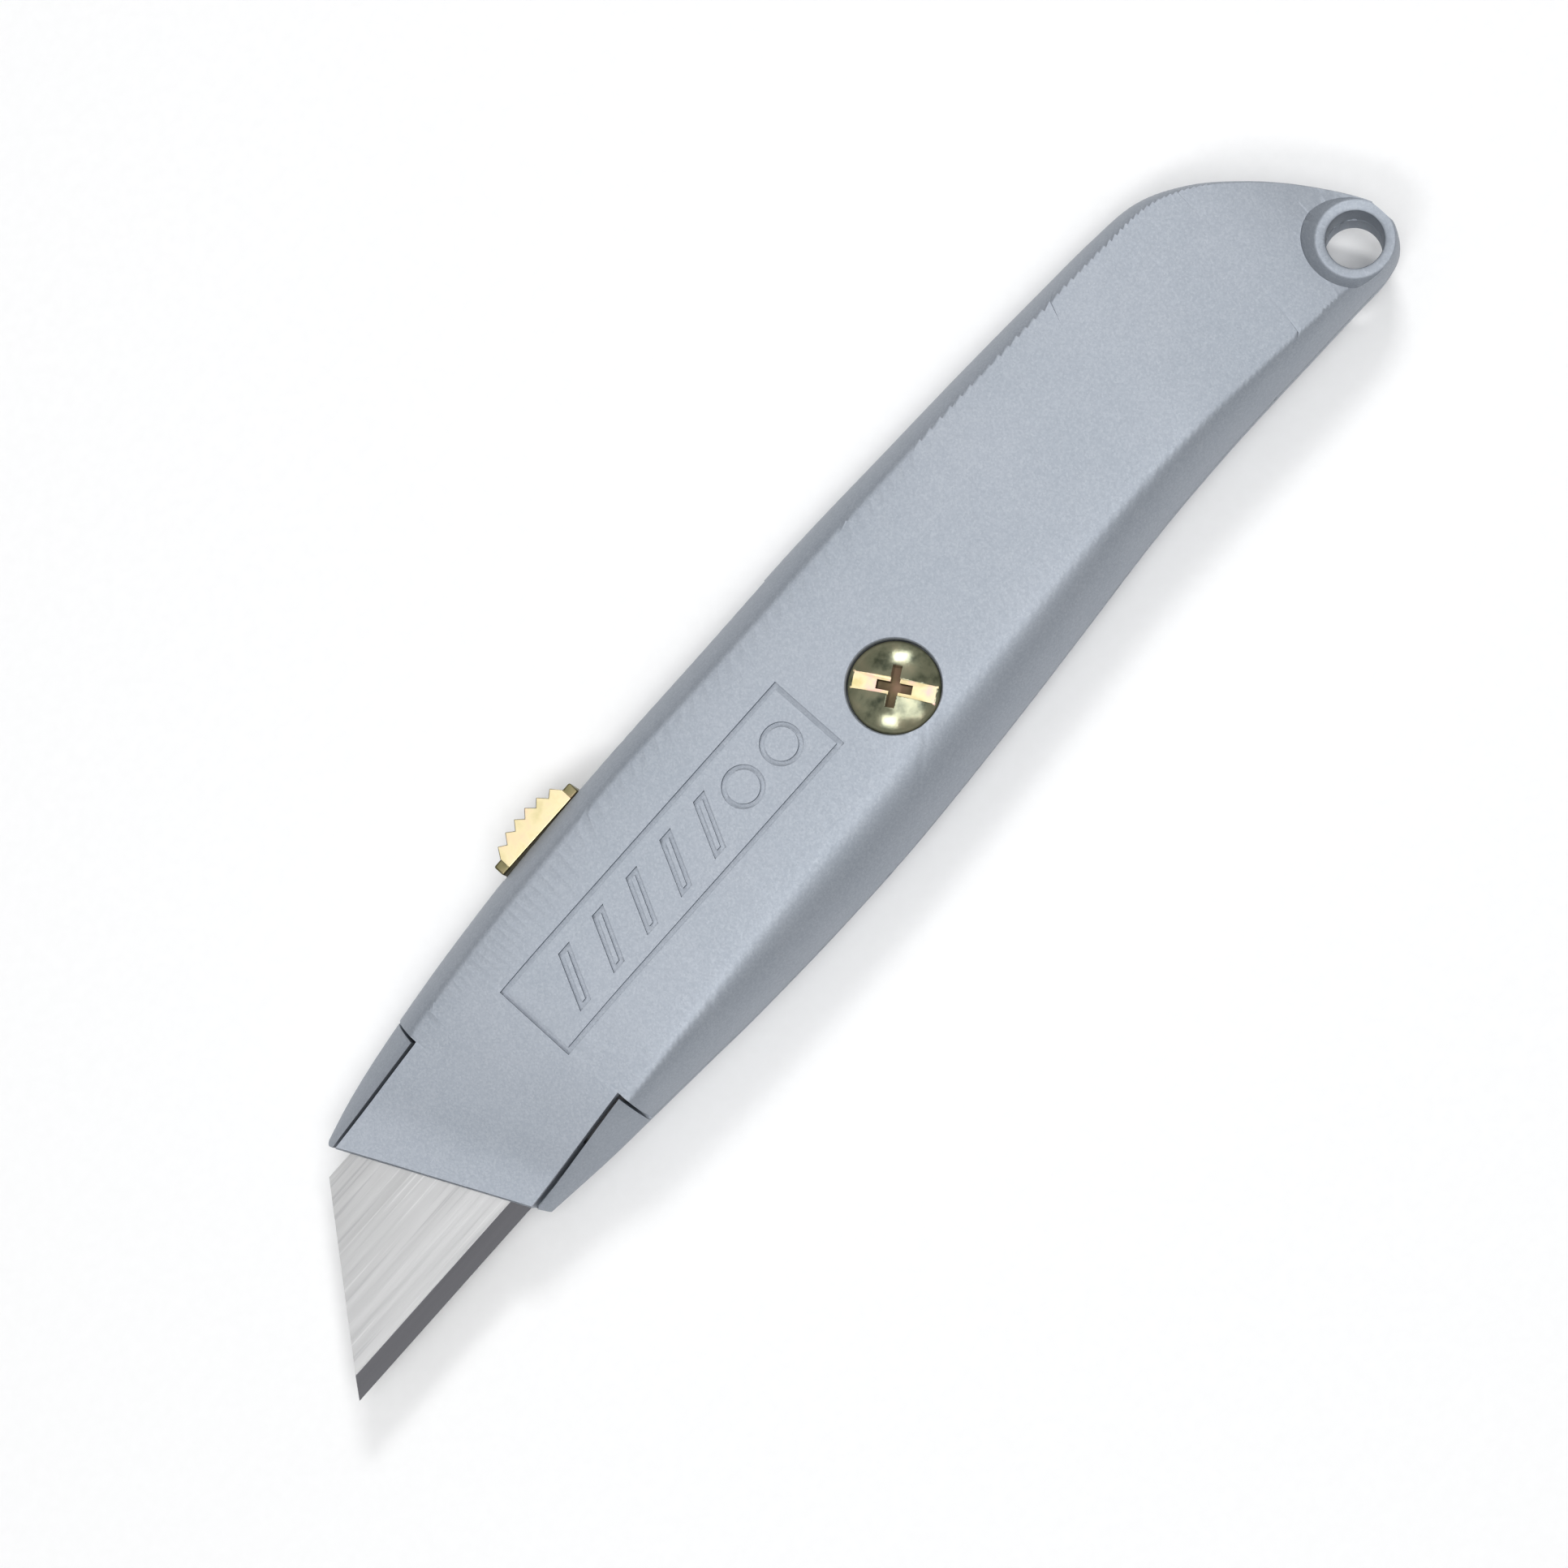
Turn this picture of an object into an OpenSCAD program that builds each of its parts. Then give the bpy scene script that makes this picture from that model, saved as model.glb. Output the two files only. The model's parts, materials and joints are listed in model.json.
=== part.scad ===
// Retractable utility knife. Two cast casing halves are held by one screw. A blade
// carrier slides between them, with a sprung thumb button on its back, and a stack of
// spare blades lies in the handle.
// The knife lies on its far casing: +X runs to the hang hole, +Y to the thumb button
// and +Z out of the near casing. The origin is the centre of the base of its box.

/* [Casing] */
// Half of the handle's thickness
half_thick = 8.5; // [8.3:0.1:8.7]
// Wall thickness of both casings
wall = 1.8; // [1.4:0.1:2]
// Gap between the nose lips and the near casing
lip_gap = 0.4; // [0.3:0.05:0.5]
// Stations of the casing's skin between two control stations
skin_steps = 2; // [2:1:4]

/* [Hang hole] */
// Radius of the hang hole
hang_r = 3.2; // [2.8:0.1:3.6]
// Height of its rim above the parting plane
rim_rise = 4; // [3.6:0.1:4.4]

/* [Body screw] */
// Radius of the screw's head
head_r = 5.2; // [4.8:0.1:5.4]
// Radius of the screw's shank
shank_r = 2.45; // [2.2:0.05:2.6]
// Angle of the driver slot, in degrees
slot_turn = -60; // [-90:1:90]

/* [Blade] */
// Length of the cutting edge
blade_len = 61.5; // [60:0.5:62]
// Height from the cutting edge to the spine
blade_high = 19.1; // [18.7:0.1:19.2]
// Thickness of the blade
blade_thick = 0.65; // [0.6:0.01:0.7]
// Number of spare blades in the handle
spare_count = 5; // [1:1:5]

/* [Carrier and button] */
// Travel of the blade carrier, from fully out to fully in
travel = 30.5; // [30:0.25:30.5]
// Length of the thumb button
button_len = 12.5; // [12:0.1:12.8]
// Number of teeth on the thumb button
tooth_count = 6; // [5:1:8]

/* [Hidden] */
$fn = 48;
eps = 0.02;
mid_z = half_thick;
top_z = 2 * half_thick;

// Control stations of the skin, from the slanted nose to the round tail:
// back point x, y, belly point x, y, half thickness, back roll, belly roll.
STATIONS = [
    [-68.0, 9.7, -56.6, -14.0, 3.6, 1.6, 1.4],
    [-63.0, 11.0, -52.2, -14.5, 4.3, 2.4, 2.0],
    [-57.0, 12.1, -47.2, -15.0, 5.6, 3.2, 2.5],
    [-48.5, 13.2, -40.5, -15.45, 7.2, 3.8, 2.9],
    [-40.0, 14.0, -33.0, -16.0, 8.3, 4.1, 4.0],
    [-30.0, 14.65, -25.0, -16.6, 8.75, 4.3, 5.3],
    [-16.0, 15.0, -13.0, -17.1, 8.85, 4.2, 6.8],
    [0.0, 15.0, 0.0, -17.15, 8.85, 4.4, 7.2],
    [16.0, 15.0, 16.0, -16.4, 8.85, 4.4, 6.7],
    [30.0, 14.5, 30.0, -15.4, 8.85, 4.0, 5.9],
    [43.0, 14.0, 43.0, -14.4, 8.8, 3.7, 4.9],
    [54.0, 13.4, 54.0, -14.05, 8.5, 3.4, 4.0],
    [62.5, 12.9, 62.5, -14.1, 7.8, 3.1, 3.2],
    [69.0, 11.95, 69.0, -14.25, 7.2, 2.6, 2.6],
    [74.0, 9.0, 74.0, -14.35, 6.6, 2.0, 2.1],
    [78.0, 5.0, 77.6, -14.45, 5.9, 1.6, 1.7],
    [81.2, 1.0, 80.7, -14.55, 5.1, 1.4, 1.4],
    [83.8, -3.2, 83.6, -13.95, 4.4, 1.2, 1.2],
    [85.3, -6.4, 85.2, -12.4, 4.1, 0.9, 0.9],
    [86.0, -9.0, 86.0, -10.2, 4.0, 0.3, 0.3]
];
// How full the rounding is at the back, at the belly and inside
outer_powers = [1.6, 2];
hollow_powers = [2.3, 2.3];
hollow_roll = 0.75;
roll_parts = 4;
// The nose lips are lower and more rounded than the near casing
lip_drop = 0.4;
lip_roll = 0.4;
lip_powers = [1.25, 1.25];
lip_to = 5;
// The control stations between which both casings are hollow
hollow_from = 2;
hollow_to = 15;

hang_at = [81.3, -9.5];
hang_wall_r = 5.8;
screw_at = [11.3, -5.0];
screw_top = top_z + 0.3;
head_floor = top_z - 2;
engraved_depth = 0.2;

blade_tip = [-86.1, -12.1];
blade_slant = 15.7;
bevel_high = 2.2;
notch_pitch = 12.7;
notch_r = 1.35;
blade_mid_x = blade_tip[0] + blade_len / 2;
spine_y = blade_tip[1] + blade_high;
blade_channel = 0.55;
rail_x = -38;

plate_thick = 1.2;
plate_top = mid_z - blade_thick / 2 - 0.03;
plate_low = plate_top - plate_thick;
flange_low = 8.2;
flange_top = 9.3;
flange_half = 2.6;

button_x = [-32.6, -32.6 + button_len];
button_low = 10.8;
button_half = 3.0;
tooth_high = 0.9;
crown_y = 17.8;
crown_drop = 1.5;
lug_x = -26.3;
lug_len = 2.4;
lug_top = 11.85;
rack_low = lug_top + 0.12;
slot_half = 3.3;
slot_play = 0.5;
leg_len = 1.6;

spare_tip = [13.5, -10.6];
spare_pitch = 0.68;
spare_low = 4.3;
clip_at = [44, 10.15];
clip_low = 7.85;
clip_thick = 0.4;
rivet_r = 0.8;

// ---- helpers ----

// A point of the smooth curve through four neighbours
function smooth(a, b, c, d, t) = 0.5 * (2 * b + (c - a) * t
    + (2 * a - 5 * b + 4 * c - d) * t * t + (3 * b - a - 3 * c + d) * t * t * t);
function station(i) = STATIONS[max(0, min(len(STATIONS) - 1, i))];
function skin(from, to) = [
    for (i = [from : to - 1], k = [0 : skin_steps - 1])
        smooth(station(i - 1), station(i), station(i + 1), station(i + 2), k / skin_steps),
    station(to)
];

// A station that is lowered, with both of its rolls scaled and widened
function changed(s, drop, scale, widen) = [s[0], s[1], s[2], s[3], s[4] - drop,
    s[5] * scale + widen, s[6] * scale + widen];

// The outline of one station's upper half, thinned by t and reaching under by below
function roll_in(w, k, power) = w * (1 - pow(cos(90 * k / roll_parts), 2 / power));
function roll_up(h, k, power) = h * pow(sin(90 * k / roll_parts), 2 / power);
function section(s, powers, t, below) =
    let (a = [s[0], s[1]], b = [s[2], s[3]], along = (b - a) / norm(b - a), h = s[4] - t,
        at = function(p, z) [p[0], p[1], mid_z + z])
    concat(
        below > 0 ? [at(a + along * t, -below)] : [],
        [for (k = [0 : roll_parts])
            at(a + along * (t + roll_in(s[5], k, powers[0])), roll_up(h, k, powers[0]))],
        [for (k = [roll_parts : -1 : 0])
            at(b - along * (t + roll_in(s[6], k, powers[1])), roll_up(h, k, powers[1]))],
        below > 0 ? [at(b - along * t, -below)] : []
    );

// A closed skin over a row of sections
module loft(sections) {
    n = len(sections[0]);
    m = len(sections);
    polyhedron(
        points = [for (s = sections, p = s) p],
        faces = concat(
            [for (i = [0 : m - 2], j = [0 : n - 1])
                [i * n + j, (i + 1) * n + (j + 1) % n, i * n + (j + 1) % n]],
            [for (i = [0 : m - 2], j = [0 : n - 1])
                [i * n + j, (i + 1) * n + j, (i + 1) * n + (j + 1) % n]],
            [[for (j = [0 : n - 1]) j]],
            [[for (j = [n - 1 : -1 : 0]) (m - 1) * n + j]]
        )
    );
}

// A box from one corner to the other
module block(low, high) {
    translate(low) cube(high - low);
}

// A prism over points in X and Y
module prism(points, low, high) {
    translate([0, 0, low]) linear_extrude(high - low) polygon(points);
}

module post(at, low, high, r) {
    translate([at[0], at[1], low]) cylinder(h = high - low, r = r);
}

// The same shape on the far casing's side of the parting plane
module far_side() {
    translate([0, 0, top_z]) mirror([0, 0, 1]) children();
}

// ---- casings ----

module outer_half() {
    intersection() {
        loft([for (s = skin(0, len(STATIONS) - 1)) section(s, outer_powers, 0, 0)]);
        block([-95, -25, 0], [95, 25, top_z]);
    }
}

module hollow() {
    difference() {
        loft([for (s = skin(hollow_from, hollow_to))
            section(changed(s, 0, hollow_roll, 0), hollow_powers, wall, 1)]);
        post(hang_at, mid_z - 2, top_z, hang_wall_r);
    }
}

// The far casing's lips before they are trimmed to their spaces
module lip_half() {
    loft([for (s = skin(0, lip_to)) section(changed(s, lip_drop, 1, lip_roll), lip_powers, 0, 0)]);
}

// The two spaces in the near casing's nose that the far casing's lips fill
module lip_spaces(grow, low, high) {
    prism([[-72, 7.85 - grow], [-52.2 + grow, 8.65 - grow], [-52.2 + grow, 20],
        [-72, 20]], low, high);
    prism([[-62, -12.75 + grow], [-41.3 + grow, -11.8 + grow], [-41.3 + grow, -20],
        [-62, -20]], low, high);
}

// The path of the blade through the nose, and of the carrier behind it
module blade_path() {
    prism([[-90, -12.4], [-44, -12.4], [-44, 7.4], [-90, 7.4]],
        mid_z - blade_channel, mid_z + blade_channel);
}

module nib_path() {
    block([-65.2, 3.8, mid_z - 1], [-46, 7.6, mid_z + 1.15]);
}

module plate_path() {
    block([-65.2, -6.4, plate_low - 0.2], [-44, 7.9, mid_z + 0.1]);
}

module button_slot() {
    block([button_x[0] - slot_play, 9, mid_z - slot_half],
        [button_x[1] + travel + slot_play, 20, mid_z + slot_half]);
}

module hang_bore() {
    post(hang_at, -1, top_z + 1, hang_r);
}

// The sunk ring round the hang hole, below the main face
module hang_recess() {
    translate([hang_at[0], hang_at[1], mid_z + rim_rise])
        rotate_extrude() polygon([[0, 0], [4.4, 0], [5.7, 2.4], [5.7, 6], [0, 6]]);
}

// Plain frame with a generic pattern of slanted bars and rings, sunk to one depth
module engraving() {
    difference() {
        engraved_outlines();
        translate([0, 0, -engraved_depth]) outer_half();
    }
}

module engraved_outlines() {
    line = 0.35;
    low = top_z - 3;
    high = top_z + 1;
    difference() {
        block([-41.8, -5, low], [3.1, 5, high]);
        block([-41.8 + line, -5 + line, low - 1], [3.1 - line, 5 - line, high + 1]);
    }
    for (x = [-37.5 : 5.5 : -15.5])
        prism([[x, -3], [x + 1.8, -3], [x + 4.8, 3], [x + 3, 3]], low, high);
    for (x = [-7.6, -1.4]) translate([x, 0, low]) difference() {
        cylinder(h = high - low, r = 2.4);
        translate([0, 0, -1]) cylinder(h = high - low + 2, r = 1.8);
    }
}

module near_rack() {
    pitch = travel / 3;
    for (k = [0 : 3])
        block([lug_x + k * pitch - pitch / 2 - 0.4, rack_low, mid_z + 3.5],
            [lug_x + k * pitch - lug_len / 2 - 0.3, 13, mid_z + 4.8]);
}

module near_casing() {
    color([0.66, 0.70, 0.76]) difference() {
        union() {
            difference() {
                outer_half();
                hollow();
            }
            post(screw_at, mid_z, top_z - wall / 2, 6);
            near_rack();
            for (y = [-9, 1]) block([rail_x, y, mid_z + 0.45], [3, y + 1, top_z - wall / 2]);
        }
        post(screw_at, 0, top_z, shank_r + 0.15);
        post(screw_at, head_floor, top_z + 1, head_r + 0.12);
        lip_spaces(0, mid_z - 1, top_z + 1);
        blade_path();
        nib_path();
        button_slot();
        hang_bore();
        hang_recess();
        engraving();
    }
}

// Ribs, stops and post that hold the spare blades in the handle
module spare_blade_bay() {
    floor_z = wall / 2;
    for (x = [22, 42, 60]) {
        block([x, -9.8, floor_z], [x + 1.2, 8, spare_low - 0.05]);
        block([x, -12, floor_z], [x + 1.2, -10.75, 7.4]);
    }
    for (x = [30, 56]) block([x, 8.7, floor_z], [x + 1.2, 10, 7.4]);
    post(clip_at, wall - 0.5, clip_low - eps, 1.5);
}

module far_casing() {
    color([0.64, 0.68, 0.74]) difference() {
        union() {
            difference() {
                far_side() outer_half();
                far_side() hollow();
            }
            post(screw_at, wall / 2, mid_z, 4.5);
            intersection() {
                lip_half();
                lip_spaces(-lip_gap, mid_z, top_z);
            }
            for (y = [-4, 4]) block([rail_x, y, wall / 2], [4, y + 1, plate_low - 0.08]);
            spare_blade_bay();
        }
        post(screw_at, 2.6, top_z, shank_r + 0.05);
        blade_path();
        plate_path();
        nib_path();
        button_slot();
        hang_bore();
        far_side() hang_recess();
        post(clip_at, clip_low - 3, top_z, rivet_r + 0.05);
    }
}

// ---- body screw ----

// Domed head with one driver slot right across and a cross recess
module body_screw() {
    dome_r = 16;
    slot_wide = 1.8;
    cross_long = 4.4;
    cross_wide = 1.2;
    color([0.75, 0.68, 0.42]) translate([screw_at[0], screw_at[1], 0]) difference() {
        union() {
            intersection() {
                translate([0, 0, head_floor + eps]) cylinder(h = 4, r = head_r);
                translate([0, 0, screw_top - dome_r]) sphere(r = dome_r, $fn = 96);
            }
            translate([0, 0, 3]) cylinder(h = head_floor - 2.5, r = shank_r);
        }
        rotate(slot_turn) translate([-8, -slot_wide / 2, screw_top - 0.95])
            cube([16, slot_wide, 4]);
        for (turn = [0, 90]) rotate(slot_turn + turn)
            translate([-cross_long / 2, -cross_wide / 2, screw_top - 2])
                cube([cross_long, cross_wide, 4]);
    }
}

// ---- blades ----

module blade_outline(tip) {
    mid = tip[0] + blade_len / 2;
    top = tip[1] + blade_high;
    difference() {
        polygon([tip, [tip[0] + blade_len, tip[1]],
            [tip[0] + blade_len - blade_slant, top], [tip[0] + blade_slant, top]]);
        for (side = [-0.5, 0.5]) translate([mid + side * notch_pitch, top - notch_r]) {
            circle(r = notch_r);
            translate([-notch_r, 0]) square([2 * notch_r, notch_r + 1]);
        }
    }
}

// A trapezoid blade, ground from both sides to its cutting edge
module trapezoid_blade(tip, low) {
    half = blade_thick / 2;
    edge = 0.03;
    intersection() {
        translate([0, 0, low - 1]) linear_extrude(3) blade_outline(tip);
        translate([tip[0] - 1, 0, low + half]) rotate([90, 0, 90])
            linear_extrude(blade_len + 2) polygon([
                [tip[1], -edge], [tip[1] + bevel_high, -half], [tip[1] + 25, -half],
                [tip[1] + 25, half], [tip[1] + bevel_high, half], [tip[1], edge]]);
    }
}

module blade() {
    color([0.8, 0.8, 0.8]) trapezoid_blade(blade_tip, mid_z - blade_thick / 2);
}

module spare_blade(index) {
    if (index <= spare_count) color([0.75, 0.76, 0.77])
        trapezoid_blade(spare_tip, spare_low + (index - 1) * spare_pitch);
}

// Leaf that presses the spare blades down, riveted to its post
module spare_blade_clip() {
    half = 3.2;
    color([0.6, 0.62, 0.64]) difference() {
        block([clip_at[0] - half, -4, clip_low], [clip_at[0] + half, 11.7, clip_low + clip_thick]);
        post(clip_at, 0, top_z, rivet_r + 0.05);
    }
}

module clip_rivet() {
    color([0.7, 0.7, 0.68]) union() {
        post(clip_at, clip_low - 2.5, clip_low + clip_thick + 0.4, rivet_r);
        post(clip_at, clip_low + clip_thick + eps, clip_low + clip_thick + 0.7, 1.7);
    }
}

// ---- carrier and button ----

// Stamped plate behind the blade, with two nibs and a folded top flange
module blade_carrier() {
    leg_hole = [leg_len / 2 + 0.2, 0.45, 2.55];
    color([0.76, 0.70, 0.45]) difference() {
        union() {
            prism([[-64.6, 4], [-64.6, 7.5], [-46, 7.5], [-46, flange_top],
                [-18.5, flange_top], [-18.5, 2], [-25, 0], [-25, -6], [-58, -6]],
                plate_low, plate_top);
            block([-46, flange_low, mid_z - flange_half], [-18.5, flange_top, mid_z + flange_half]);
            for (side = [-0.5, 0.5])
                post([blade_mid_x + side * notch_pitch, spine_y - notch_r],
                    plate_low, mid_z + 0.95, notch_r - 0.15);
        }
        for (x = leg_x()) block([x - leg_hole[0], 7, mid_z + leg_hole[1]],
            [x + leg_hole[0], 10, mid_z + leg_hole[2]]);
        for (x = rivet_x()) rivet_axis(x) cylinder(h = 8, r = rivet_r + 0.05, center = true);
    }
}

function leg_x() = [button_x[0] + 1.4, button_x[1] - 1.4];
function rivet_x() = [-43.6, -40.4];

module rivet_axis(x) {
    translate([x, flange_top, mid_z]) rotate([-90, 0, 0]) children();
}

// Sprung button: saw teeth on a curved crown, a shoulder under the slot, a lock lug
// on the near side and two legs through the carrier's flange
module thumb_button() {
    shoulder_top = 11.4;
    end_len = 1.1;
    end_top = 15.9;
    mid = (button_x[0] + button_x[1]) / 2;
    first = button_x[0] + end_len;
    pitch = (button_len - 2 * end_len) / tooth_count;
    crown = function(x) crown_y - crown_drop * pow((x - mid) / (button_len / 2), 2);
    teeth = [for (i = [0 : tooth_count - 1])
        let (x = first + i * pitch, tip = x + pitch / 2)
        each [[x, crown(x) - tooth_high], [tip, crown(tip)]]];
    color([0.86, 0.78, 0.55]) {
        prism(concat([[button_x[0], button_low], [button_x[0], end_top], [first, end_top]],
            teeth, [[button_x[1] - end_len, end_top], [button_x[1], end_top],
            [button_x[1], button_low]]), mid_z - button_half, mid_z + button_half);
        block([button_x[0], button_low, mid_z - 4.1], [button_x[1], shoulder_top, mid_z + 4.1]);
        block([lug_x - lug_len / 2, button_low, mid_z + 2.5],
            [lug_x + lug_len / 2, lug_top, mid_z + 4.6]);
        for (x = leg_x()) block([x - leg_len / 2, 8.3, mid_z + 0.6],
            [x + leg_len / 2, button_low + 1, mid_z + 2.4]);
    }
}

// Bent leaf under the button
module button_spring() {
    thick = 0.35;
    low = flange_top + eps;
    high = button_low - eps - thick;
    foot = -38.6;
    rise = -30;
    bend = [for (k = [0 : 4]) [foot + (rise - foot) * k / 4,
        low + (high - low) * (1 - cos(180 * k / 4)) / 2]];
    line = concat([[-45.6, low]], bend, [[-24, high]]);
    color([0.7, 0.72, 0.74]) difference() {
        translate([0, 0, mid_z - 2]) linear_extrude(2.3) polygon(concat(
            line, [for (i = [len(line) - 1 : -1 : 0]) line[i] + [0, thick]]));
        for (x = rivet_x()) rivet_axis(x) cylinder(h = 8, r = rivet_r + 0.05, center = true);
    }
}

module spring_rivets() {
    color([0.72, 0.7, 0.6]) for (x = rivet_x()) rivet_axis(x) {
        translate([0, 0, -1.6]) cylinder(h = 2.4, r = rivet_r);
        translate([0, 0, 0.4]) cylinder(h = 0.4, r = 1.3);
    }
}

near_casing();
far_casing();
body_screw();
blade_carrier();
blade();
thumb_button();
button_spring();
spring_rivets();
spare_blade(1);  // spare_blade_1
spare_blade(2);  // spare_blade_2
spare_blade(3);  // spare_blade_3
spare_blade(4);  // spare_blade_4
spare_blade(5);  // spare_blade_5
spare_blade_clip();
clip_rivet();
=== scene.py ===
"""Looks of the retractable utility knife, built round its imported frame.

Lengths written as N * MM are millimetres in the part's own frame: the knife lies on its
far casing, +X to the hang hole, +Y to the thumb button, +Z out of the near casing.
"""
import json
import math

import bmesh
import bpy
from mathutils import Matrix, Vector


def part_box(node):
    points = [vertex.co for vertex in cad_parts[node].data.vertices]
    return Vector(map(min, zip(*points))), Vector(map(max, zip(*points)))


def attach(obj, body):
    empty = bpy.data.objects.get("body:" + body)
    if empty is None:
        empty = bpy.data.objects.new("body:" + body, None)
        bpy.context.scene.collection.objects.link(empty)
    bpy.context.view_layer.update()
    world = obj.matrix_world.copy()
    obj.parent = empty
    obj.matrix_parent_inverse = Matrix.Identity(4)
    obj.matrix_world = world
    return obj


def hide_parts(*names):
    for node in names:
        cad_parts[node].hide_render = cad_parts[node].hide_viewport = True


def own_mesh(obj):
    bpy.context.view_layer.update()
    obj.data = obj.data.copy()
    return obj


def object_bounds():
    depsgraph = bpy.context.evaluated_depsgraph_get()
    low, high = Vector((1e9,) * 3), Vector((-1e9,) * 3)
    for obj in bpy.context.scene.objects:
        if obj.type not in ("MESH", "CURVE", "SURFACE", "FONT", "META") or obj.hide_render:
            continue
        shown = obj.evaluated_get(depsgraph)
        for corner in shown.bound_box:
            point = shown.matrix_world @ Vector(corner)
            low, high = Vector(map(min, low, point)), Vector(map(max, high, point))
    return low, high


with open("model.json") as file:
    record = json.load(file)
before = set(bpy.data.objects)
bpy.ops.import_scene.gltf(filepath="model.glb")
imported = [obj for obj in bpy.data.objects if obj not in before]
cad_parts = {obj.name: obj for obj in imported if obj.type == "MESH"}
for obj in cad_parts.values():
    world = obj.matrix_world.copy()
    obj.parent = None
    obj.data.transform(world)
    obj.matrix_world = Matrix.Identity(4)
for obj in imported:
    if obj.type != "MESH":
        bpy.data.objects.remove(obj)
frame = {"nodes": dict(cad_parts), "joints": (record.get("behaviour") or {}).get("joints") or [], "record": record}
CAD_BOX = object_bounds()

MM = 0.001

# ---- dimensions, all from the frame where it holds them ----

MOUNTS = {m["name"]: m for m in frame["record"]["mounts"]}
HANG_AT = Vector(MOUNTS["hang_hole"]["pos_m"]) / MM
HANG_R = MOUNTS["hang_hole"]["dims"]["r_mm"]
NEAR_LOW, NEAR_HIGH = (Vector(c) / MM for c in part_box("near_casing"))
SCREW_LOW, SCREW_HIGH = (Vector(c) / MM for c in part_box("body_screw"))
BUTTON_LOW, BUTTON_HIGH = (Vector(c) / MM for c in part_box("thumb_button"))
MID_Z = NEAR_LOW.z
TOP_Z = NEAR_HIGH.z
HALF_THICK = TOP_Z - MID_Z
SCREW_AT = (SCREW_LOW + SCREW_HIGH) / 2
SCREW_R = (SCREW_HIGH.x - SCREW_LOW.x) / 2
TRAVEL = max(j["range_m"][1] for j in frame["joints"] if j["name"] == "blade_slide") / MM

WALL = 1.8
HANG_WALL_R = 5.8
NEAR_BOSS_R = 6
FAR_BOSS_R = 4.5
SHANK_R = 2.45
SHANK_HOLES = (2.6, 2.5)
# Half height of the blade's way through the nose, and the button slot
BLADE_GAP = 0.55
SLOT_HALF = 3.3
SLOT_PLAY = 0.5
# Control stations of the skin, nose to tail, in millimetres: back point x, y, belly
# point x, y, half thickness, back roll, belly roll. They are the part's own stations.
STATIONS = [
    (-68.0, 9.7, -56.6, -14.0, 3.6, 1.6, 1.4),
    (-63.0, 11.0, -52.2, -14.5, 4.3, 2.4, 2.0),
    (-57.0, 12.1, -47.2, -15.0, 5.6, 3.2, 2.5),
    (-48.5, 13.2, -40.5, -15.45, 7.2, 3.8, 2.9),
    (-40.0, 14.0, -33.0, -16.0, 8.3, 4.1, 4.0),
    (-30.0, 14.65, -25.0, -16.6, 8.75, 4.3, 5.3),
    (-16.0, 15.0, -13.0, -17.1, 8.85, 4.2, 6.8),
    (0.0, 15.0, 0.0, -17.15, 8.85, 4.4, 7.2),
    (16.0, 15.0, 16.0, -16.4, 8.85, 4.4, 6.7),
    (30.0, 14.5, 30.0, -15.4, 8.85, 4.0, 5.9),
    (43.0, 14.0, 43.0, -14.4, 8.8, 3.7, 4.9),
    (54.0, 13.4, 54.0, -14.05, 8.5, 3.4, 4.0),
    (62.5, 12.9, 62.5, -14.1, 7.8, 3.1, 3.2),
    (69.0, 11.95, 69.0, -14.25, 7.2, 2.6, 2.6),
    (74.0, 9.0, 74.0, -14.35, 6.6, 2.0, 2.1),
    (78.0, 5.0, 77.6, -14.45, 5.9, 1.6, 1.7),
    (81.2, 1.0, 80.7, -14.55, 5.1, 1.4, 1.4),
    (83.8, -3.2, 83.6, -13.95, 4.4, 1.2, 1.2),
    (85.3, -6.4, 85.2, -12.4, 4.1, 0.9, 0.9),
    (86.0, -9.0, 86.0, -10.2, 4.0, 0.3, 0.3),
]
HOLLOW_FROM = 2
HOLLOW_TO = 15
RIM_RISE = 4.0
# How full the rounding is at the back, at the belly and inside
OUTER_POWERS = (1.6, 2.0)
HOLLOW_POWERS = (2.3, 2.3)
HOLLOW_ROLL = 0.75
# The nose lips are lower and more rounded than the near casing
LIP_DROP = 0.4
LIP_ROLL = 0.4
LIP_POWERS = (1.25, 1.25)
LIP_TO = 5
ENGRAVED_DEPTH = 0.65
BARS = 5
BAR_FROM, BAR_PITCH = -37.5, 5.5
RINGS_X = (-7.6, -1.4)
RING_R, RING_INNER_R = 2.45, 1.85
LIP_GAP = 0.5
NOSE_CORNER_R = 0.9
NOSE_EASE = 0.35
# Width of the soft parting line between the casings
SEAM = 0.22
SLOT_TURN = -60
BUTTON_TEETH = 6
BUTTON_END = 1.1
BUTTON_END_Y = 15.9
CROWN_DROP = 1.5
TOOTH_HIGH = 0.9
NECK_Y = 14.5
LUG_X = -26.3
BEVEL_Y = -9.9

# ---- camera and light ----

VIEW_TILT = math.radians(9.5)
VIEW_DISTANCE = 0.433
VIEW_AIM = Vector((-4.45, -1.72, 8.5)) * MM
VIEW_SPAN = 0.173
VIEW_TURN = math.radians(-48.33)


# Degrees between faces from which an edge is bevelled, and from which it is shaded sharp
BEVEL_FROM = 35
SHARP_FROM = 30


# ---- mesh helpers ----

def new_object(name, verts, faces):
    """A mesh object from points in millimetres."""
    mesh = bpy.data.meshes.new(name)
    mesh.from_pydata([Vector(v) * MM for v in verts], [], faces)
    mesh.validate()
    obj = bpy.data.objects.new(name, mesh)
    bpy.context.scene.collection.objects.link(obj)
    tidy_normals(obj)
    for face in mesh.polygons:
        face.use_smooth = True
    return obj


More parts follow.
